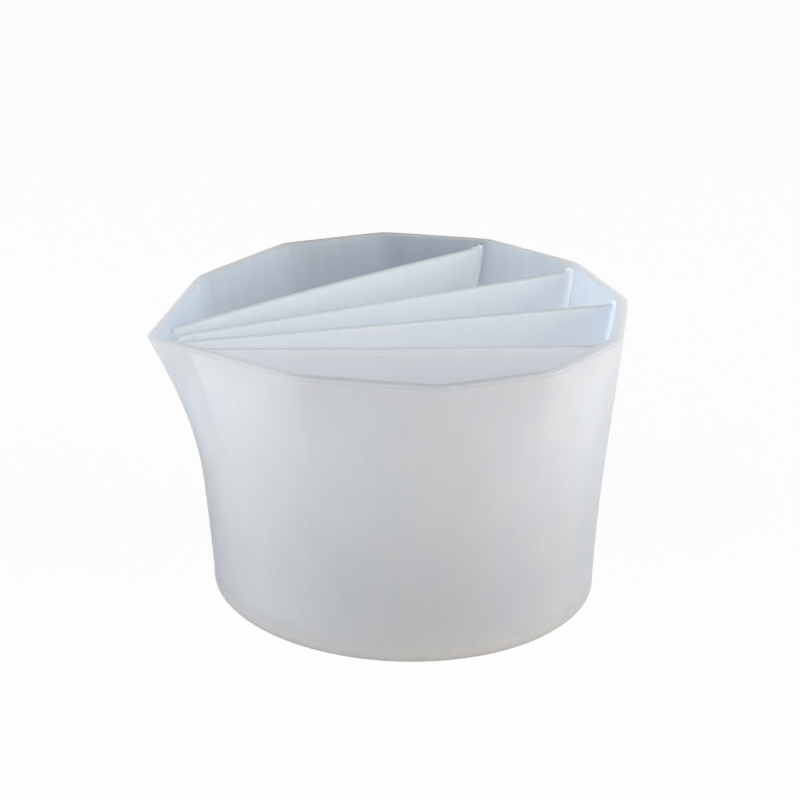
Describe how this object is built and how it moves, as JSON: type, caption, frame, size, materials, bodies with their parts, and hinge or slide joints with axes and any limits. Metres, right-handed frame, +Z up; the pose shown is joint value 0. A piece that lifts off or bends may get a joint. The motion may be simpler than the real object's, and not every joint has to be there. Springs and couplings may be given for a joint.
{
  "type": "resin mixing cup",
  "caption": "Milky silicone pouring cup: round base, faceted rim, a pointed spout that flares out on one side, and thin upright dividers that fan out from it into wedge-shaped compartments",
  "frame": {"origin": "centre of the round resting face, on the surface that the cup stands on", "axes": "+Z up, the spout points to -X, +Y across the cup; the cup's long axis is X"},
  "size_m": [0.0899, 0.079, 0.055],
  "materials": {
    "silicone": "satin, milky translucent silicone"
  },
  "bodies": {
    "root": {"base": "silicone", "outer_wall": "silicone", "pour_spout": "silicone", "rim": "silicone", "divider_1": "silicone", "divider_2": "silicone", "divider_3": "silicone", "divider_4": "silicone"}
  },
  "joints": []
}
